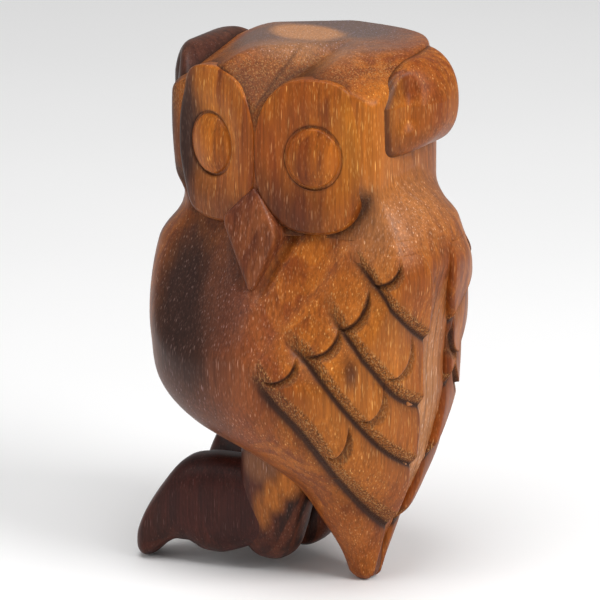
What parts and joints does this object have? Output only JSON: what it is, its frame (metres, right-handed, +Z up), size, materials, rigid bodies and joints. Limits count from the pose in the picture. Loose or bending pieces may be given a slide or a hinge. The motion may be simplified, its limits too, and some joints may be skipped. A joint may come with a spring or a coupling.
{
  "type": "carved wooden owl figurine",
  "caption": "Standing owl figurine carved in hardwood, head turned to its left, folded wings with carved feathers, resting on its feet and the tip of its tail.",
  "frame": {"origin": "middle of the underside of the object's box, on the surface that the owl stands on", "axes": "+Z up; the body and feet look along -Y; the owl's left side is +X; the turned head looks along +X, about 5 degrees towards +Y"},
  "size_m": [0.0758, 0.0908, 0.15],
  "materials": {
    "torso": "satin, hand carved, open grain, waxed",
    "head": "satin, hand carved, open grain, waxed",
    "left_face_disc": "satin, hand carved, open grain, waxed",
    "right_face_disc": "satin, hand carved, open grain, waxed",
    "left_eye": "satin, hand carved, open grain, waxed",
    "right_eye": "satin, hand carved, open grain, waxed",
    "beak": "satin, hand carved, open grain, waxed",
    "left_ear": "satin, hand carved, open grain, waxed",
    "right_ear": "satin, hand carved, open grain, waxed",
    "left_wing": "satin, hand carved, open grain, waxed",
    "right_wing": "satin, hand carved, open grain, waxed",
    "tail": "satin, hand carved, open grain, waxed",
    "left_leg": "satin, hand carved, open grain, waxed",
    "right_leg": "satin, hand carved, open grain, waxed",
    "left_foot": "satin, hand carved, open grain, waxed",
    "right_foot": "satin, hand carved, open grain, waxed"
  },
  "bodies": {
    "root": {"torso": "torso", "head": "head", "left_face_disc": "left_face_disc", "right_face_disc": "right_face_disc", "left_eye": "left_eye", "right_eye": "right_eye", "beak": "beak", "left_ear": "left_ear", "right_ear": "right_ear", "left_wing": "left_wing", "right_wing": "right_wing", "tail": "tail", "left_leg": "left_leg", "right_leg": "right_leg", "left_foot": "left_foot", "right_foot": "right_foot"}
  },
  "joints": []
}
